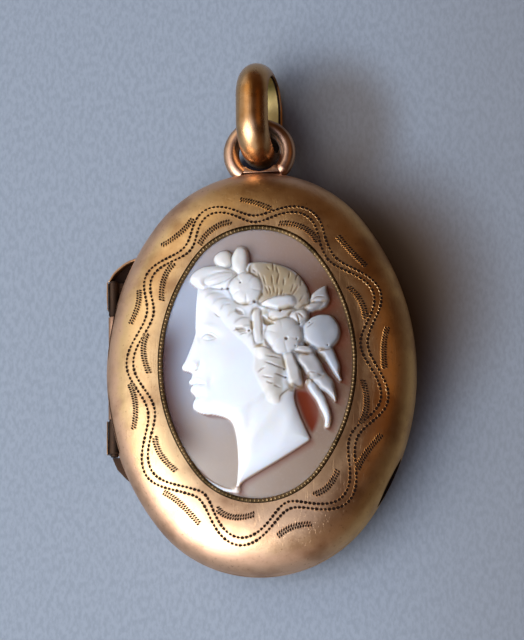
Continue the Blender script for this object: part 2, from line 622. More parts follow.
def alongPath(name, path, facing, mark, spacing, turn=0.0):
    # Geometry Nodes: sets a copy of the mark every so far along the path, lying on the dome
    base = bpy.data.meshes.new(name)
    base.from_pydata((path * mm).tolist(), [(i, i + 1) for i in range(len(path) - 1)], [])
    for label, vectors in (("facing", facing), ("ahead", np.gradient(path, axis=0))):
        layer = base.attributes.new(label, "FLOAT_VECTOR", "POINT")
        layer.data.foreach_set("vector", np.asarray(vectors, float).ravel())
    piece = bpy.data.objects.new(name, base)
    bpy.context.scene.collection.objects.link(piece)

    group = bpy.data.node_groups.new(name, "GeometryNodeTree")
    group.interface.new_socket("Geometry", in_out="OUTPUT", socket_type="NodeSocketGeometry")
    for label, kind in (("Geometry", "Geometry"), ("Spacing", "Float"), ("Turn", "Float"), ("Mark", "Object")):
        group.interface.new_socket(label, in_out="INPUT", socket_type="NodeSocket" + kind)
    add = nodeAdder(group)
    source = add("NodeGroupInput").node.outputs
    curve = add("GeometryNodeMeshToCurve", source["Geometry"])
    spaced = add("GeometryNodeResampleCurve", curve, named={"Length": source["Spacing"]}, mode="LENGTH")
    shape = add("GeometryNodeObjectInfo", source["Mark"], out="Geometry")
    up, on = (add("GeometryNodeInputNamedAttribute", label, data_type="FLOAT_VECTOR") for label in ("facing", "ahead"))
    aim = add("FunctionNodeAlignRotationToVector", named={"Vector": up}, axis="Z")
    aim = add("FunctionNodeAlignRotationToVector", aim, named={"Vector": on}, axis="X", pivot_axis="Z")
    spin = add("FunctionNodeAxisAngleToRotation", (0, 0, 1), source["Turn"])
    aim = add("FunctionNodeRotateRotation", aim, spin, rotation_space="LOCAL")
    # hand work: each mark a little longer or shorter, always the same way
    size = add("FunctionNodeRandomValue", 0.82, 1.15, named={"Seed": 5}, data_type="FLOAT")
    placed = add("GeometryNodeInstanceOnPoints", spaced, named={"Instance": shape, "Rotation": aim, "Scale": size})
    done = add("GeometryNodeRealizeInstances", placed)
    for index, material in enumerate(mark.data.materials):
        same = add("FunctionNodeCompare", add("GeometryNodeInputMaterialIndex"), index,
                   data_type="INT", operation="EQUAL")
        done = add("GeometryNodeSetMaterial", done, same, material)
    add("NodeGroupOutput", done)

    change = piece.modifiers.new("repeat", "NODES")
    change.node_group = group
    values = {"Spacing": spacing * mm, "Turn": turn, "Mark": mark}
    for item in group.interface.items_tree:
        if item.in_out == "INPUT" and item.name in values:
            change[item.identifier] = values[item.name]
    return freeze(piece)


def engrave():
    e = engraving
    dash = cutMark("dash", e["dashLength"], e["dashWidth"], e["burr"])
    stroke = cutMark("stroke", e["strokeLength"], e["strokeWidth"], e["burr"] * 1.5)
    parts = []
    ninths = np.linspace(0, 9, 1801)
    for offset in (0.0, e["lineApart"]):
        path, facing = frontTop(turnAt(ninths / 9), waveInset(ninths, offset), e["lift"])
        parts.append(alongPath("line", path, facing, dash, e["dashPitch"]))
    share = np.linspace(0, 1, 41)
    bend = np.stack([(1 - share) * (1 - 2 * share), 4 * share * (1 - share), share * (2 * share - 1)])
    # a rocked graver digs in at both ends of its zigzag
    slant = math.radians(90 - e["strokeSlant"])
    for crescent in e["crescents"]:
        ninth, inset = np.array(crescent).T @ bend
        for shift, skip in ((e["rowsApart"] / 2, 0.0), (-e["rowsApart"] / 2, 0.5)):
            path, facing = frontTop(turnAt(ninth / 9), inset + shift, e["lift"])
            run = np.concatenate([[0], np.cumsum(np.linalg.norm(np.diff(path, axis=0), axis=1))])
            kept = np.linspace(skip * e["hatchPitch"], run[-1], 41)
            path, facing = (np.stack([np.interp(kept, run, v) for v in way.T], -1) for way in (path, facing))
            parts.append(alongPath("hatch", path, facing, stroke, e["hatchPitch"], slant))
    for mark in (dash, stroke):
        bpy.data.objects.remove(mark)
    return settle(join("engravedCuts", parts), "front", "case_metal")


engrave()
print("engraving cut")

# setting: cup with a milled lip round the cameo
settingForm = dict(
    oval=(9.78, 14.13), show=0.38, floorLow=6.85, floorThick=0.3, top=8.65, lip=0.35, stoneGap=0.03,
    flangeOut=0.6, flangeLow=7.35, flangeThick=0.3, teeth=184, toothWide=0.24, toothDeep=0.36, toothHigh=0.1,
)


def makeSetting():
    s = settingForm
    turns = evenTurns(720)
    show, low, flange = s["show"], s["floorLow"], s["flangeLow"]
    stone = show / 2 + s["stoneGap"]
    # the lip: inset, and how far below the top as a share of the lip's height
    lip = [(stone, 1), (show, 1), (show, 0.72), (show * 0.7, 0.4), (show * 0.4, 0.35), (0.1, 0.55), (0, 0.75)]
    profile = [(0, low), (stone, low)] + [(inset, s["top"] - s["lip"] * drop) for inset, drop in lip]
    profile += [(0, flange + s["flangeThick"]), (-s["flangeOut"], flange + s["flangeThick"]),
                (-s["flangeOut"], flange), (0, flange)]
    wall = sharpen(sweepOval("cupWall", s["oval"], turns, profile, [settingWall]), 30)
    base = prism("cupFloor", list(zip(*ovalPoint(*s["oval"], turns, 0.1))), low + 0.002, low + s["floorThick"],
                 [innerGold])
    settle(join("settingCup", [wall, base]), "front", "setting_metal", "cameo_setting")

    # one milled tooth: a little wedge with a rounded back, rising from the outer edge of the lip
    outline = [(-0.5, 0.0), (-0.3, 0.75), (0.0, 1.0), (0.3, 0.75), (0.5, 0.0)]
    root = 0.1
    tooth = loft("tooth", [[(x * s["toothWide"], across * s["toothDeep"], -root + (z * s["toothHigh"] + root) * rise)
                            for x, z in outline]
                           for across, rise in ((-0.5, 0.45), (-0.2, 1.0), (0.25, 0.8), (0.5, 0.15))], [milledGold])
    fine, run = ovalRun(*(half - show / 2 for half in s["oval"]))
    turns = np.interp(np.linspace(0, run[-1], 1441), run, fine)
    x, y = ovalPoint(*s["oval"], turns, show / 2)
    path = np.stack([x, y, np.full(x.shape, s["top"] - s["lip"] * 0.5)], -1)
    teeth = alongPath("milledTeeth", path, np.broadcast_to((0, 0, 1), path.shape), tooth, run[-1] / s["teeth"])
    bpy.data.objects.remove(tooth)
    settle(teeth, "front", "setting_metal", "cameo_setting")


makeSetting()
print("setting milled")

# cameo: a carved height field on an oval grid
stoneForm = dict(oval=(9.55, 13.9), edgeZ=8.25, baseZ=7.2, groundRise=1.1, rows=360, columns=250, trim=0.03,
                 reliefMiddle=0.9, seenRight=-0.088, seenUp=0.29, darkOval=(9.4, 13.75), whiteFrom=0.12, rustReach=15)
stoneWide, stoneLong = stoneForm["oval"]
rowY = (stoneLong - stoneForm["trim"]) * np.linspace(-1, 1, stoneForm["rows"] + 1)
cameoX = ovalHalfWidth(stoneWide, stoneLong, rowY)[:, None] * np.linspace(-1, 1, stoneForm["columns"] + 1)
cameoY = np.repeat(rowY[:, None], stoneForm["columns"] + 1, axis=1)
groundRise = stoneForm["groundRise"] * (1 - np.minimum(1, (cameoX / stoneWide) ** 2 + (cameoY / stoneLong) ** 2))
# the forms stand up from the edge's level, and are laid out as the slanting view shows them there
seenRise = groundRise + stoneForm["reliefMiddle"]
seenX, seenY = cameoX + stoneForm["seenRight"] * seenRise, cameoY + stoneForm["seenUp"] * seenRise
carving = {label: np.zeros(cameoX.shape) for label in ("height", "dirt", "tan")}
spot = dict(x=seenX, y=seenY)   # where the grid's points count as lying, so that outlines can waver


def ripple(x, y, size, seed):
    # slow unevenness of about this size, between -1 and 1
    total = 0
    for index in range(6):
        aim = seed * 1.7 + index * 2.4
        pitch = circle / (size * (0.65 + 0.22 * index))
        total = total + np.sin((x * math.cos(aim) + y * math.sin(aim)) * pitch + seed * 3.1 + index * 1.3)
    return total / 3.2


def smoothStep(value):
    t = np.clip(value, 0, 1)
    return t * t * (3 - 2 * t)


def pillow(share):
    t = 1 - np.clip(share, 0, 1)
    return np.sqrt(np.maximum(0, 1 - t * t))


def spline(points, closed=False, count=12):
    # smooth curve through the points
    p = np.asarray(points, float)
    n = len(p)
    spans = n if closed else n - 1
    out = []
    for i in range(spans):
        if closed:
            a, b, c, d = p[(i - 1) % n], p[i], p[(i + 1) % n], p[(i + 2) % n]
        else:
            a, b, c, d = p[max(i - 1, 0)], p[i], p[i + 1], p[min(i + 2, n - 1)]
        t = np.linspace(0, 1, count, endpoint=False)[:, None]
        out.append(0.5 * (2 * b + (c - a) * t + (2 * a - 5 * b + 4 * c - d) * t ** 2
                          + (3 * b - 3 * c + d - a) * t ** 3))
    if not closed:
        out.append(p[-1:])
    return np.concatenate(out)


def pathDistance(path, x, y):
    # distance to a polyline, and how far along it the nearest point lies, from 0 to 1
    path = np.asarray(path, float)
    best = np.full(x.shape, 1e9)
    where = np.zeros(x.shape)
    lengths = np.hypot(*(path[1:] - path[:-1]).T)
    run = np.concatenate([[0], np.cumsum(lengths)])
    for i, (a, b) in enumerate(zip(path[:-1], path[1:])):
        dx, dy = b - a
        t = np.clip(((x - a[0]) * dx + (y - a[1]) * dy) / max(dx * dx + dy * dy, 1e-12), 0, 1)
        distance = np.hypot(x - a[0] - t * dx, y - a[1] - t * dy)
        nearer = distance < best
        best = np.where(nearer, distance, best)
        where = np.where(nearer, (run[i] + t * lengths[i]) / run[-1], where)
    return best, where


def insideOutline(outline, x, y):
    # signed distance to a closed outline, positive inside
    loop = np.concatenate([outline, outline[:1]])
    distance, _ = pathDistance(loop, x, y)
    hits = np.zeros(x.shape, int)
    for (ax, ay), (bx, by) in zip(loop[:-1], loop[1:]):
        if ay == by:
            continue
        spans = (ay > y) != (by > y)
        hits += spans & (x < (bx - ax) * (y - ay) / (by - ay) + ax)
    return np.where(hits % 2 == 1, distance, -distance)


def nearby(points, margin):
    # the part of the grid round some points, so that a small form is worked on alone
    p = np.asarray(points, float)
    low, high = p.min(0) - margin, p.max(0) + margin
    rows = np.where((rowY >= low[1] - 0.6) & (rowY <= high[1] - 0.2))[0]
    if len(rows) == 0:
        return None
    view = np.s_[rows[0]:rows[-1] + 1, :]
    columns = np.where(((cameoX[view] >= low[0]) & (cameoX[view] <= high[0] + 0.2)).any(0))[0]
    if len(columns) == 0:
        return None
    return np.s_[rows[0]:rows[-1] + 1, columns[0]:columns[-1] + 1]


def spotRound(x0, y0, reach, turn=0.0):
    # the part of the grid round a place, and where its points lie from there along and across a direction
    view = nearby([(x0, y0)], reach)
    return view, *turned(spot["x"][view] - x0, spot["y"][view] - y0, turn)


def turned(x, y, turn):
    c, s = math.cos(math.radians(turn)), math.sin(math.radians(turn))
    return x * c + y * s, y * c - x * s


def pathRound(path, reach):
    # the part of the grid round a path, the distance to it there, and how far along it that is
    view = nearby(path, reach)
    return (view, None, None) if view is None else (view, *pathDistance(path, spot["x"][view], spot["y"][view]))


def atLeast(layer, view, amount):
    carving[layer][view] = np.maximum(carving[layer][view], amount)


def lay(view, sd, top, tan=0.25, dirt=0.45):
    # lays a carved form over what is there, with a crease cut round it and old dirt in the crease
    soft, crease, depth = 0.17, 0.16, 0.06
    height = carving["height"][view]
    inside = smoothStep((sd + soft) / (2 * soft))
    onRelief = smoothStep((height - 0.2) / 0.3)
    cut = np.exp(-(np.minimum(sd, 0) / crease) ** 2) * (1 - inside) * onRelief
    carving["height"][view] = (height - depth * cut) * (1 - inside) + top * inside
    stain = onRelief * smoothStep((ripple(cameoX[view], cameoY[view], 1.5, 7) + 0.25) / 0.9)
    carving["dirt"][view] *= 1 - inside
    atLeast("dirt", view, np.exp(-((sd + 0.04) / 0.06) ** 2) * dirt * stain)
    carving["tan"][view] = carving["tan"][view] * (1 - inside) + tan * inside
    atLeast("tan", view, 0.8 * np.exp(-((sd + 0.02) / 0.3) ** 2) * stain * smoothStep((cameoX[view] + 3) / 2))


def leaf(x0, y0, turn, halfLong, halfWide, base, top, pointed, dirt=0.45, square=2.2, tan=0.3, rib=0.0):
    # turn gives the way its tip points; a larger square makes a blunter, flatter block
    view, u, v = spotRound(x0, y0, max(halfLong, halfWide) + 0.5, turn)
    u = u / halfLong
    wide = halfWide * (1 - pointed * np.clip(u, 0, 1))
    far = (np.abs(u) ** square + np.abs(v / np.maximum(wide, 0.05)) ** square) ** (1 / square)
    sd = (1 - far) * halfWide
    crown = base + (top - base) * pillow(sd / (1.9 / square * halfWide))
    crown = crown - rib * np.exp(-(v / 0.07) ** 2) * smoothStep((0.8 - np.abs(u)) / 0.3)
    lay(view, sd, crown, tan, dirt)


def berry(x0, y0, radius, base, top, flat):
    view, x, y = spotRound(x0, y0, radius + 0.4)
    r = np.hypot(x, y)
    lay(view, radius - r, base + (top - base) * np.maximum(0, 1 - (r / radius) ** 2) ** flat, 0.1)


def rosette(x0, y0, radius, petals, base, top, turn, lobe, groove):
    # an open flower: rounded petals, grooves between them, a small boss in the middle
    view, x, y = spotRound(x0, y0, radius * 1.2 + 0.4)
    r, petal = np.hypot(x, y), np.cos((np.arctan2(y, x) - math.radians(turn)) * petals / 2)
    sd = radius * (1 - lobe * (1 - np.abs(petal)) ** 1.2) - r
    crown = base + (top - base) * pillow(sd / (0.75 * radius))
    parting = np.exp(-(petal / 0.24) ** 2) * smoothStep((r / radius - 0.25) / 0.35)
    lay(view, sd, crown - groove * parting - 0.3 * groove * np.exp(-((r - 0.28 * radius) / 0.16) ** 2))


def lock(points, widths, base, top, tan=0.25, dirt=0.45):
    # a curl of hair along a curve, so wide at its start, middle and end
    view, distance, along = pathRound(spline(points), max(widths) + 0.4)
    wide = np.interp(along, [0, 0.5, 1], widths)
    sd = wide - distance
    lay(view, sd, base + (top - base) * pillow(sd / (0.85 * np.maximum(wide, 0.05))), tan, dirt)


def mass(points, widths, rise, tan):
    # raises a soft bank along a curve, which fades into what lies beside it
    view, distance, along = pathRound(spline(points), max(widths) + 0.3)
    share = np.clip(1 - (distance / np.interp(along, [0, 0.5, 1], widths)) ** 2, 0, 1)
    carving["height"][view] += rise * share ** 1.5
    atLeast("tan", view, tan * smoothStep(share * 2))


def swell(x0, y0, turn, longWay, wideWay, amount):
    # adds a soft hill or hollow
    u, v = turned(seenX - x0, seenY - y0, turn)
    hill = np.exp(-((u / longWay) ** 2 + (v / wideWay) ** 2))
    carving["height"] += amount * hill * smoothStep(carving["height"] / 0.4)


def incise(points, wide, depth, dirt, tan=0.0):
    # a thin cut line, deepest in its middle
    view, distance, along = pathRound(spline(points), wide * 4 + 0.1)
    if view is None:
        return
    fade = np.sqrt(np.maximum(0, np.sin(np.clip(along, 0.02, 0.98) * math.pi)))
    line = np.exp(-(distance / wide) ** 2) * fade
    carving["height"][view] -= depth * line
    atLeast("dirt", view, dirt * line)
    atLeast("tan", view, tan * np.exp(-(distance / (wide * 3)) ** 2) * fade)


def inciseAll(wide, depth, tan, *cuts):
    for dirt, *points in cuts:
        incise(points, wide, depth, dirt, tan)


def hollow(points, depth, tan, dirt=0.25):
    # a scooped hollow between two forms, where the shell is thin and stained
    outline = spline(points, closed=True, count=6)
    view = nearby(outline, 0.3)
    inside = smoothStep((insideOutline(outline, spot["x"][view], spot["y"][view]) + 0.05) / 0.2)
    carving["height"][view] -= depth * inside
    atLeast("tan", view, tan * inside)
    atLeast("dirt", view, dirt * inside)


def drill(x0, y0, radius):
    view, x, y = spotRound(x0, y0, radius * 4)
    hole = np.exp(-(np.hypot(x, y) / radius) ** 4)
    carving["height"][view] -= 0.2 * hole
    atLeast("dirt", view, 0.95 * hole)


# A calm classical profile on three equal parts, of no one in particular
faceForm = dict(hairLine=8.2, third=4.25, brow=-6.1, rise=0.92, roundOver=1.5)
browY, noseY, chinY = (faceForm["hairLine"] - part * faceForm["third"] for part in (1, 2, 3))


def carveHead():
    b, hairY = faceForm["brow"], faceForm["hairLine"]
    # places of the profile from the brow's depth and from the hair line, brow, nose and chin
    profile = [(b + x, level + y) for level, *places in (
        (hairY, (0.35, 0.6), (0.12, -1.2)), (browY, (0, 1.1), (-0.02, 0.1), (-0.05, -0.55), (-0.5, -1.9)),
        (noseY, (-1.05, 1.05), (-1.38, 0.45), (-1.25, 0.05), (-0.75, -0.12), (-0.42, -0.35), (-0.5, -0.8),
         (-0.72, -1.15), (-0.62, -1.4), (-0.35, -1.52), (-0.52, -1.72), (-0.56, -2.1), (-0.25, -2.5), (-0.1, -2.8),
         (-0.3, -3.25), (-0.34, -3.75)), (chinY, (-0.05, 0.1), (0.7, -0.22), (1.8, -0.35))) for x, y in places]
    front = spline(profile + [(-3.3, -5.25), (-2.62, -5.9), (-2.25, -7.4), (-2.12, -9.6), (-2.25, -11.6),
                              (-2.4, -12.35)], count=8)
    cutEdge = spline([(-1.95, -12.25), (-1.4, -11.6), (1.4, -10.0), (3.6, -8.7), (4.95, -7.85)], count=6)
    back = spline([(5.05, -7.6), (4.5, -6.3), (4.0, -5.05), (3.65, -3.9), (3.6, -2.8), (4.2, 0.0), (5.0, 3.5),
                   (5.25, 6.6), (4.6, 8.5), (3.4, 9.7), (1.6, 10.4), (-0.3, 10.55), (-2.6, 10.2), (-4.6, 9.6)], count=6)
    sd = insideOutline(np.concatenate([front, cutEdge, back]), seenX, seenY)
    inside = smoothStep((sd + 0.05) / 0.1)
    carving["height"] = faceForm["rise"] * (0.3 + 0.7 * pillow(sd / faceForm["roundOver"])) * inside

    # forms of the face and neck
    jaw = spline([(-5.6, -4.35), (-4.0, -4.55), (-1.9, -4.1), (0.2, -2.9), (1.7, -1.2), (2.3, 1.0)], count=8)
    distance, _ = pathDistance(jaw, seenX, seenY)
    below = np.interp(seenX, jaw[:, 0], jaw[:, 1]) > seenY
    carving["height"] -= 0.2 * smoothStep(distance / 0.9) * below * (seenY < 1) * inside
    eyeX, eyeY = -4.85, browY - 1.05
    for form in (
            (-5.35, browY + 0.15, 172, 1.1, 0.3, 0.07),      # brow
            (-4.7, browY - 1.0, 175, 0.95, 0.5, -0.2),       # eye socket
            (-5.75, browY - 0.9, 100, 0.6, 0.28, -0.1),      # beside the bridge
            (-6.35, browY - 2.6, 65, 1.4, 0.32, 0.08),       # ridge of the nose
            (-6.25, noseY + 0.35, 20, 0.42, 0.36, 0.17),     # wing of the nose
            (-5.72, noseY + 0.3, 75, 0.5, 0.16, -0.12),      # behind the wing
            (-3.6, noseY + 0.9, 20, 1.7, 1.3, 0.1),          # cheek
            (-6.1, noseY - 1.15, 172, 0.6, 0.22, 0.12),      # upper lip
            (-5.95, noseY - 2.0, 8, 0.5, 0.24, 0.13),        # lower lip
            (-5.95, noseY - 2.75, 0, 0.7, 0.25, -0.09),      # under the lip
            (-5.75, chinY + 0.75, 0, 0.75, 0.6, 0.1),        # chin
            (-4.6, noseY - 1.4, 80, 0.7, 0.3, -0.06),        # corner of the mouth
            (0.3, -6.2, 50, 4.2, 0.7, 0.1), (-1.2, -7.2, 78, 3.0, 0.5, -0.07), (3.0, -6.0, 70, 2.2, 0.6, 0.06),   # neck
            (eyeX, eyeY, 0, 0.5, 0.34, 0.15)):               # ball of the eye
        swell(*form)
    for wide, depth, dirt, *points in (
            # lids and the fold over them
            (0.06, 0.1, 0.3, (-0.62, -0.05), (-0.2, 0.33), (0.35, 0.22), (0.85, -0.12)),
            (0.05, 0.07, 0.18, (-0.55, -0.12), (-0.1, -0.3), (0.4, -0.26), (0.8, -0.12)),
            (0.07, 0.06, 0.0, (-0.6, 0.28), (-0.1, 0.56), (0.5, 0.48), (1.05, 0.05))):
        incise([(eyeX + x, eyeY + y) for x, y in points], wide, depth, dirt)
    # mouth and nostril
    incise([(-6.62, noseY - 1.55), (-6.1, noseY - 1.5), (-5.6, noseY - 1.55), (-5.15, noseY - 1.62)], 0.06, 0.13, 0.3)
    incise([(-6.35, noseY - 0.02), (-6.05, noseY - 0.1), (-5.8, noseY + 0.06)], 0.06, 0.12, 0.4)


def waverForms():
    # from here on outlines waver as hand carving does; the profile and the edge of the stone stay true
    hold = smoothStep((seenX + 6.0) / 2.5) * smoothStep((seenY + 9.0) / 4.0)
    spot["x"] = seenX + hold * (0.06 * ripple(seenX, seenY, 2.6, 1) + 0.025 * ripple(seenX, seenY, 1.1, 2))
    spot["y"] = seenY + hold * (0.06 * ripple(seenX, seenY, 2.6, 3) + 0.025 * ripple(seenX, seenY, 1.1, 4))


def carveHair():
    # combed crown, cut thin so that the ground warms it
    crown = spline([(-0.5, 10.3), (1.0, 10.4), (2.6, 10.0), (3.9, 9.1), (4.85, 7.9), (5.25, 6.4), (5.0, 5.0),
                    (3.6, 5.2), (0.6, 5.9), (-0.4, 7.5)], closed=True, count=8)
    sd = insideOutline(crown, spot["x"], spot["y"])
    everywhere = np.s_[:, :]
    thin = smoothStep((seenX + 0.5) / 2.0) * smoothStep((6.2 - seenX) / 3.0)
    lay(everywhere, sd, 0.45 + 0.38 * pillow(sd / 2.0), 0.45 + 0.4 * thin, 0.3)
    atLeast("dirt", everywhere, 0.26 * smoothStep((3.4 - seenX) / 2.2) * smoothStep(sd / 0.4))
    for index, turn in enumerate(np.linspace(118, 16, 15)):
        for row, (near, far) in enumerate(((2.9, 3.7), (4.05, 5.0), (5.3, 6.1))):
            t = math.radians(turn + 3.5 * (row % 2) + 2 * math.sin(index * 5.3 + row))
            strength = 0.5 + 0.5 * math.sin(index * 1.7 + row * 2.6)
            if strength < 0.15:
                continue
            a, b = near + 0.2 * math.sin(index * 2.4 + row * 1.9), far - 0.3 * math.sin(index * 3.1 + row)
            dark = (0.35 + 0.6 * strength) * (1.0 if turn > 50 else 0.6)
            incise([(1.1 + r * math.cos(t + lean) * 0.84, 4.2 + r * math.sin(t + lean))
                    for r, lean in ((a, 0), ((a + b) / 2, 0.03), (b, 0.05))], 0.075, 0.12, dark, 0.55)
    # locks behind the neck, lowest first
    lock([(5.2, -2.0), (5.75, -3.0), (6.4, -4.4), (6.8, -5.6), (6.75, -6.4)], (0.55, 0.48, 0.3), 0.2, 0.66, 0.0, 0.1)
    lock([(5.6, -0.8), (6.3, -1.7), (6.95, -2.6), (7.57, -3.85)], (0.85, 0.75, 0.1), 0.3, 0.86, dirt=0.3)
    lock([(6.6, 1.4), (7.2, 0.5), (7.65, -0.5), (8.05, -1.9)], (0.8, 0.52, 0.1), 0.3, 0.8, 0.0, 0.25)
    # hair of the nape: one soft mass, parted by cross cuts; each cut starts with how dark it is
    mass([(0.9, 2.4), (1.0, 0.6), (1.25, -1.4), (1.7, -3.3)], (1.2, 1.6, 0.9), 0.22, 0.38)
    inciseAll(0.07, 0.13, 0.0,
              (0.6, (0.92, 0.82), (1.6, 0.66), (2.35, 0.46)), (0.85, (0.85, 0.1), (1.7, -0.28), (2.6, -0.64)),
              (0.45, (0.12, -0.84), (0.45, -0.58), (0.78, -0.44)), (0.9, (1.72, -1.18), (2.3, -1.36), (2.8, -1.5)),
              (0.35, (0.98, -1.98), (1.28, -2.08), (1.64, -2.13)), (0.45, (1.72, -2.34), (2.0, -2.42), (2.25, -2.48)),
              (0.3, (0.3, 1.75), (0.9, 1.6), (1.5, 1.35)), (0.3, (0.55, -1.3), (1.0, -1.5), (1.5, -1.6)))
    incise([(2.2, -3.75), (2.4, -3.3), (2.8, -2.85), (3.2, -2.43)], 0.07, 0.1, 0.6, 0.5)
    leaf(5.25, -0.2, -58, 1.5, 0.92, 0.6, 1.0, 0.1, square=3.5)
    leaf(3.42, -0.55, -75.6, 1.78, 0.6, 0.65, 1.08, -0.15, 0.7, 4.5)
    inciseAll(0.06, 0.1, 0.5,
              (0.6, (3.5, 1.14), (3.85, 0.3), (4.25, -0.58), (4.4, -1.4), (4.46, -2.25)),
              (0.9, (3.4, -2.1), (3.85, -2.28), (4.5, -2.42)), (0.6, (4.8, -1.18), (4.95, -1.6), (4.75, -2.4)),
              (0.5, (4.8, -1.18), (5.25, -1.1), (5.74, -1.12)), (0.7, (5.86, -1.24), (6.15, -1.35), (6.46, -1.47)),
              (0.6, (5.74, 0.6), (6.1, 0.3), (6.4, -0.1)), (0.5, (5.74, 1.08), (6.5, 1.12), (7.17, 1.26), (7.55, 1.46)))
    hollow([(4.75, -1.25), (5.2, -1.25), (5.15, -2.2), (4.75, -2.4)], 0.1, 0.6, 0.1)
    hollow([(5.75, 0.85), (6.6, 0.85), (6.8, 0.3), (6.2, -0.15), (5.9, 0.3)], 0.06, 0.5, 0.1)
    leaf(6.35, 6.65, 68, 1.25, 0.95, 0.4, 0.85, 0.75)
    incise([(5.4, 6.3), (6.1, 6.6), (6.8, 6.5)], 0.06, 0.12, 0.6, 0.4)
    leaf(5.65, 5.7, 15, 0.95, 0.42, 0.45, 0.9, 0.4, tan=0.35)
    # waved hair over the temple, low and soft where it meets the face
    mass([(-5.1, 7.3), (-3.9, 6.5), (-2.6, 5.3), (-1.4, 4.0), (-0.3, 2.6), (0.6, 1.4)], (0.9, 1.3, 1.1), 0.2, 0.22)
    for index, (x0, y0) in enumerate(((-5.1, 6.9), (-4.3, 6.3), (-3.5, 5.6), (-2.8, 4.9), (-2.1, 4.2), (-1.5, 3.4),
                                      (-0.8, 2.7), (-0.3, 1.9))):
        reach = 1.3 + 0.3 * math.sin(index * 2.2)
        incise([(x0, y0), (x0 + reach * 0.45, y0 + 0.5), (x0 + reach, y0 + 0.55)], 0.13, 0.08,
               0.06 + 0.25 * (index > 3))
    hollow([(-2.0, 5.7), (-1.4, 5.5), (-1.2, 5.0), (-1.7, 5.05), (-2.1, 5.3)], 0.12, 0.4)
    hollow([(-2.1, 3.75), (-1.2, 3.75), (-1.0, 3.25), (-1.7, 3.2)], 0.12, 0.45)
    incise([(-2.25, 3.45), (-1.7, 3.6), (-1.05, 3.6)], 0.06, 0.12, 0.8)
    incise([(-1.6, 3.0), (-1.25, 3.1), (-0.95, 3.0)], 0.06, 0.1, 0.75)
    incise([(-4.2, 5.3), (-3.9, 5.0), (-3.55, 4.85)], 0.05, 0.07, 0.65)


def carveWreath():
    leaf(-3.2, 10.95, 120, 0.95, 0.95, 0.5, 1.0, 0.0, 0.4)
    leaf(-1.6, 10.7, 84, 1.5, 0.82, 0.5, 1.05, 0.05, 0.5, 2.5)
    # broad leaf over the brow
    visor = spline([(-6.62, 8.95), (-6.3, 9.6), (-5.3, 10.2), (-4.0, 10.3), (-2.7, 9.9), (-1.6, 9.0), (-2.2, 8.0),
                    (-3.4, 7.8), (-4.6, 8.0), (-5.4, 7.85), (-6.2, 8.4)], closed=True, count=6)
    view = nearby(visor, 0.4)
    sd = insideOutline(visor, spot["x"][view], spot["y"][view])
    lay(view, sd, 0.6 + 0.5 * pillow(sd / 0.9), dirt=0.25)
    leaf(-3.7, 8.9, 15, 1.5, 0.55, 0.75, 1.14, 0.2, 0.3, rib=0.03)
    rosette(-1.0, 7.75, 1.68, 5, 0.7, 1.2, 20, 0.05, 0.035)
    leaf(2.6, 5.0, 4, 1.4, 0.62, 0.6, 1.0, 0.1, square=2.8)
    leaf(2.2, 6.2, 183, 1.75, 0.68, 0.7, 1.14, 0.6, 0.6, 3.2, 0.12)
    leaf(0.1, 3.85, 93, 1.8, 0.5, 0.75, 1.12, 0.1, 0.6, 3.5)
    leaf(4.2, 4.75, 20, 0.9, 0.6, 0.6, 0.98, 0.2, 0.6, 3.0)
    leaf(4.68, 1.3, -14, 0.95, 0.42, 0.7, 1.05, 0.1, 0.7, 3.2)
    rosette(2.66, 2.75, 1.88, 6, 0.75, 1.2, 10, 0.07, 0.02)
    hollow([(0.62, 4.85), (1.16, 4.47), (1.8, 3.95), (1.28, 3.84), (0.72, 4.05)], 0.3, 0.85)
    berry(6.35, 3.08, 1.82, 0.55, 1.15, 0.42)
    inciseAll(0.07, 0.12, 0.6,
              (0.8, (3.95, 4.9), (4.05, 4.4), (4.18, 3.85)), (0.8, (4.48, 2.2), (4.9, 1.98), (5.33, 1.76)),
              (0.8, (3.54, 1.2), (4.5, 0.93), (5.5, 0.88)), (0.5, (3.95, 4.95), (4.3, 4.8), (4.6, 4.5)))
    incise([(5.0, 3.45), (5.3, 3.65), (5.7, 4.05)], 0.06, 0.1, 0.5)
    for x0, y0, radius in ((2.42, 5.42, 0.14), (-2.8, 7.78, 0.13), (-3.35, 7.85, 0.08), (-1.5, 8.3, 0.08),
                           (2.95, 2.33, 0.15), (3.96, 2.39, 0.07), (3.9, 1.68, 0.07), (5.2, 4.0, 0.07),
                           (6.95, 1.6, 0.07), (-0.75, 3.3, 0.12), (4.17, 3.9, 0.12), (-0.15, 6.35, 0.14),
                           (2.6, -0.66, 0.1), (2.75, -1.48, 0.1)):
        drill(x0, y0, radius)


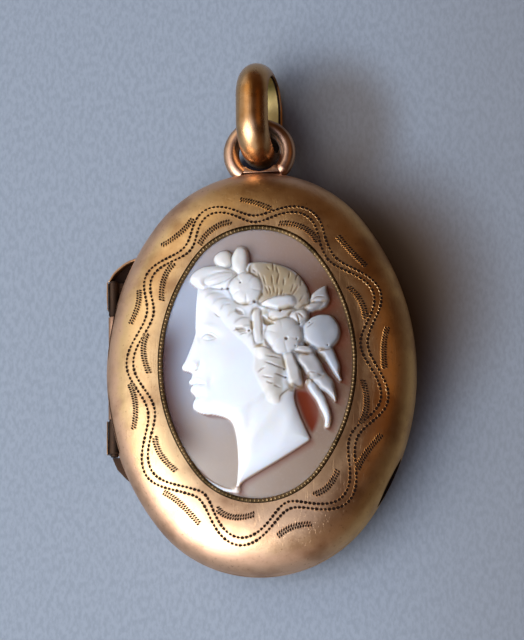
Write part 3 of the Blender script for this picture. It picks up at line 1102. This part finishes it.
def makeCameo():
    f = stoneForm
    carveHead()
    waverForms()
    carveHair()
    carveWreath()
    # tool marks, strongest in the hair and wreath
    rough = smoothStep((cameoX + 0.5) / 1.5) * smoothStep((cameoY + 3.5) / 2.5)
    marks = 0.022 * ripple(cameoX, cameoY, 1.7, 5)
    height = np.maximum(carving["height"] + marks * rough * smoothStep(carving["height"] / 0.5), 0)
    # rest of the white layer left along the lower left edge
    lip = spline([(-7.15, -9.3), (-5.6, -11.3), (-3.7, -12.6), (-2.1, -13.0)], count=8)
    distance, along = pathDistance(lip, cameoX, cameoY)
    ledge = np.exp(-(distance / 0.2) ** 4) * np.interp(along, [0, 0.2, 0.9, 1], [0, 1, 1, 0.8])
    knob = 0.3 * np.exp(-(np.hypot(cameoX + 2.2, cameoY + 12.75) / 0.4) ** 2)
    height = np.maximum(height, np.maximum(0.13 * ledge, knob))
    # the ground is cut a little deeper close behind the head
    onGround, relief = height < f["whiteFrom"], height > f["whiteFrom"]
    rust = np.zeros(height.shape)
    for shift in range(1, f["rustReach"]):
        moved = np.zeros(relief.shape, bool)
        down = shift // 2 + shift % 2
        moved[:-down, shift:] = relief[down:, :-shift]
        rust = np.maximum(rust, moved * (1 - shift / f["rustReach"]) ** 1.3)
    rust *= 0.75 * onGround
    deep = insideOutline(spline([(3.7, -2.78), (5.1, -2.9), (5.86, -4.03), (5.98, -5.2), (5.5, -6.64), (5.03, -6.82),
                                 (4.2, -4.98)], closed=True, count=6), seenX, seenY)
    rust = np.maximum(rust, smoothStep((deep + 0.3) / 0.6) * (height < 0.2)
                      * (1 - 0.45 * smoothStep((seenX - 4.3 + 0.3 * (seenY + 3)) / 1.6)))
    # and the stone darkens towards its left edge
    toEdge = np.maximum(ovalHalfWidth(*f["darkOval"], cameoY) - np.abs(cameoX), 0)
    shade = np.exp(-(toEdge / 2.1) ** 1.7) * smoothStep((1.0 - cameoX) / 5) * smoothStep((cameoY + 10.5) / 4)
    shade *= 0.95 * smoothStep((6.5 - cameoY) / 5) * onGround
    white = np.maximum(smoothStep((height - 0.04) / 0.42), 0.75 * ledge)
    dirt = np.clip(carving["dirt"], 0, 1) * smoothStep((height - 0.05) / 0.2)
    top = np.stack([cameoX, cameoY, f["edgeZ"] + groundRise + height - 0.05 * rust], -1).reshape(-1, 3)
    # walls go down from both ends of every row to a level underside
    wide, rows = f["columns"] + 1, f["rows"] + 1
    base = np.stack([cameoX[:, [0, -1]], cameoY[:, [0, -1]], np.full((rows, 2), f["baseZ"])], -1).reshape(-1, 3)
    faces = gridFaces(rows, wide)
    n = len(top)
    for row in range(rows - 1):
        a, b = row * wide, n + 2 * row
        faces += [[a, a + wide, b + 2, b], [a + wide - 1, b + 1, b + 3, a + 2 * wide - 1], [b, b + 2, b + 3, b + 1]]
    faces.append([*range(wide)][::-1] + [n, n + 1])
    faces.append([*range((rows - 1) * wide, rows * wide)] + [n + 2 * rows - 1, n + 2 * rows - 2])
    cameo = addMesh("carvedCameo", np.concatenate([top, base]), faces, [shellStone], fixNormals=False)
    for label, values in zip(shellLayers, (white, dirt, np.clip(carving["tan"], 0, 1), rust, shade)):
        layer = cameo.data.attributes.new(label, "FLOAT", "POINT")
        layer.data.foreach_set("value", np.concatenate([values.ravel(), np.zeros(len(base))]).astype(np.float32))
    return settle(sharpen(cameo, 75), "front", "carved_shell", "cameo")


makeCameo()
print("cameo carved")

# back half: plain dome with a level floor, rim that the front snaps over, hinge and its end plates
backForm = dict(around=540, rows=34, floorLap=0.4, rimGap=0.25, rimThick=0.3, rimHigh=0.7, rimRoot=0.95, rimFrom=-11.5)


def makeBackShell():
    f, n = backForm, notchForm
    turns = evenTurns(f["around"])
    edge, wall, level, rise = (caseForm[key] for key in ("edge", "wall", "backLevel", "backRise"))
    outer = edge + (level - edge) * np.linspace(0, 1, f["rows"]) ** 2
    inner = wall + (level - wall) * np.linspace(1, 0, f["rows"]) ** 2
    lap = level + f["floorLap"]
    profile = [*zip(outer, seamZ - domeHeight(outer, level, rise)), (lap, 0.0), (lap, wall),
               *zip(inner, seamZ - domeHeight(inner, level, rise - wall, wall)), (caseForm["lip"], seamZ)]
    ring = sweepOval("ring", caseOval, turns, profile, [caseGold, cutOxide])
    base = prism("base", list(zip(*ovalPoint(*caseOval, turns, lap - 0.1))), 0.0, wall, [caseGold])
    cutNotch(ring, n["backRadius"], n["backRadius"] - n["backDeep"], n["backWide"], 256)
    cutHingeRoom(ring)
    start = wall + f["rimGap"]
    end, root, mouthZ = start + f["rimThick"], seamZ - f["rimRoot"], seamZ - 0.05
    rim = sweepOval("rim", caseOval, turns, [
        (wall / 2, root), (end, root), (end, seamZ + f["rimHigh"]), (start, seamZ + f["rimHigh"]), (start, mouthZ),
        (wall / 2, mouthZ)], [innerGold, cutOxide])
    # the outside of the snap rim is black where it shows through the notch
    out, mouth = notchPlace()
    for face in rim.data.polygons:
        if face.normal.dot(out) > 0.5 and (face.center - mouth * mm).length < n["blackReach"] * mm:
            face.material_index = 1
    clear = f["rimFrom"]
    combine(rim, prism("tool", [(clear - 10, -25), (clear, -25), (clear, 25), (clear - 10, 25)], 0, 10, []))
    return settle(sharpen(join("backShell", [ring, base, rim])), "back", "case_metal", "back_cover")


def makeEndPlates():
    top, low = hingeForm["high"] + 0.2, hingeForm["low"] - 0.2
    # curved tray at the upper end of the joint, open towards the seam
    outer, inner = (spline([(x, top + rise) for x, rise in curve], count=6).tolist() for curve in (
        ((-12.35, 2.35), (-13.3, 2.0), (-14.1, 1.45), (-14.75, 0.8), (-15.26, -0.05)),
        ((-12.4, 2.12), (-13.2, 1.8), (-13.9, 1.3), (-14.55, 0.7), (-15.06, -0.05))))
    # outline, its lower and upper face over the seam, and material: wall, ear, lower ear, floor and tail
    plates = (
        (outer + inner[::-1], -0.9, 0.05, roseGold),
        ([(-15.22, top - 0.2), (-15.33, top - 0.2), (-15.36, top - 1.6), (-15.3, top - 3.1), (-15.24, top - 3.1)],
         -0.25, 0.5, roseGold),
        ([(-15.33, low + 0.2), (-15.44, low + 0.2), (-15.42, low + 3.6), (-15.34, low + 3.6)], -0.2, 0.45, roseGold),
        ([(-12.5, top + 1.9), *inner, (-12.5, top)], -0.9, -0.65, cutOxide),
        ([(-15, low), (-14.5, low - 1.2), (-13.6, low - 2.2), (-12.9, low - 2.8), (-12.6, low - 2.8), (-13.4, low)],
         -0.7, -0.35, hingeGold))
    plates = [bevel(prism("plate", outline, seamZ + under, seamZ + over, [material]), 0.06)
              for outline, under, over, material in plates]
    return settle(join("hingeEndPlates", plates), "back", "case_metal", "back_cover")


makeBackShell()
settle(knuckleRow("backKnuckles", 0, -1), "back", "case_metal", "back_cover")
makeEndPlates()
print("back half made")

# loop of round wire, its join left open at the lower right, on a soldered foot
loopForm = dict(x=0.2, y=23.0, radius=2.85, wire=0.8, joinTurn=-47, endTurn=232, footHigh=5.05, footLow=3.62,
                pinch=0.22, pinchShare=0.035)


def makeLoop():
    f = loopForm
    around = np.linspace(0, circle, 36, endpoint=False)
    rings = []
    for share in np.linspace(0, 1, 120):
        # the cut end is pinched where the wire was nipped off
        wire = f["wire"] * (1 - f["pinch"] * max(0, 1 - share / f["pinchShare"]))
        t = math.radians(f["joinTurn"] + (f["endTurn"] - f["joinTurn"]) * share)
        rings.append([(f["x"] + (f["radius"] + wire * math.cos(a)) * math.cos(t),
                       f["y"] + (f["radius"] + wire * math.cos(a)) * math.sin(t), seamZ + wire * math.sin(a))
                      for a in around])
    ring = loft("ring", rings, [loopRose])
    hole = f["radius"] - f["wire"]
    arc = [(f["x"] + hole * math.cos(t), f["y"] + hole * math.sin(t)) for t in np.radians(np.linspace(-132, -44, 26))]
    seamY = caseOval[1] + 0.1

    def foot(*points):
        return [(f["x"] + x, seamY + y) for x, y in points]

    outline = foot((-2.45, 0), (-2.3, 0.75)) + arc + foot((1.78, 0.78), (2.02, 0.2), (2.1, 0))
    strip = bevel(prism("strip", outline, f["footLow"], f["footHigh"], [loopRose]), 0.07)
    outline = foot((-2.5, -0.55), (2.5, -0.55), (2.5, 0.32), (-2.5, 0.32))
    block = bevel(prism("block", outline, seamZ - 0.8, seamZ - 0.06, [loopRose]), 0.06)
    loop = sharpen(join("solderedLoop", [ring, strip, block]), 50)
    return settle(loop, "back", "rose_metal", "back_cover")


makeLoop()

bailForm = dict(x=0.2, y=25.85, wide=3.4, thick=1.5, outer=4.3, stretch=2.3, lean=9, droop=2, grimeBelow=26.6)


def makeBail():
    f = bailForm
    crown = f["wide"] / 2
    middle, flat = f["outer"] - crown, f["outer"] - f["thick"]
    limit = math.acos((flat - middle) / crown)
    turns = np.linspace(-limit + 0.12, limit - 0.12, 34)
    edge = crown * math.sin(limit)
    section = [(middle + crown * math.cos(t), crown * math.sin(t)) for t in turns]
    section += [(flat + 0.1, edge - 0.02), (flat, edge - 0.16)]
    section += [(flat + 0.05 * (v / edge) ** 2, v) for v in np.linspace(edge - 0.4, -edge + 0.4, 9)]
    section += [(flat, -edge + 0.16), (flat + 0.1, -edge + 0.02)]
    place = (Matrix.Translation((f["x"], f["y"], seamZ)) @ Matrix.Rotation(math.radians(-f["lean"]), 4, "Y")
             @ Matrix.Rotation(math.radians(-f["droop"]), 4, "X") @ Matrix.Rotation(math.radians(90), 4, "Y"))
    # two half rings, one of them shifted out to stretch the bail
    rings = [[place @ Vector((r * math.cos(t), shift + r * math.sin(t), v)) for r, v in section]
             for shift, start in ((0, -math.pi), (f["stretch"], 0)) for t in np.linspace(start, start + math.pi, 61)]
    bail = loft("bailBand", rings, [roseGold, bandInside, cutOxide], closed=True)
    inward = list(range(len(turns) + 1, len(section) - 2))
    for face in bail.data.polygons:
        across = sorted(v % len(section) for v in face.vertices)
        if across[0] in inward and across[-1] <= inward[-1] + 1:
            # grime along its right edge and where it hangs in the loop
            grimy = across[-1] <= inward[1] or face.center.y < f["grimeBelow"] * mm
            face.material_index = 2 if grimy else 1
    return settle(sharpen(bail, 50), "bail_ring", "rose_metal", "bail")


makeBail()
print("loop and bail made")

# CAD nodes that keep their own shape
for node, material in (("hinge_pin", hingeGold), ("front_picture_rim", innerGold), ("back_picture_rim", innerGold)):
    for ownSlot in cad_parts[node].material_slots:
        ownSlot.material = material
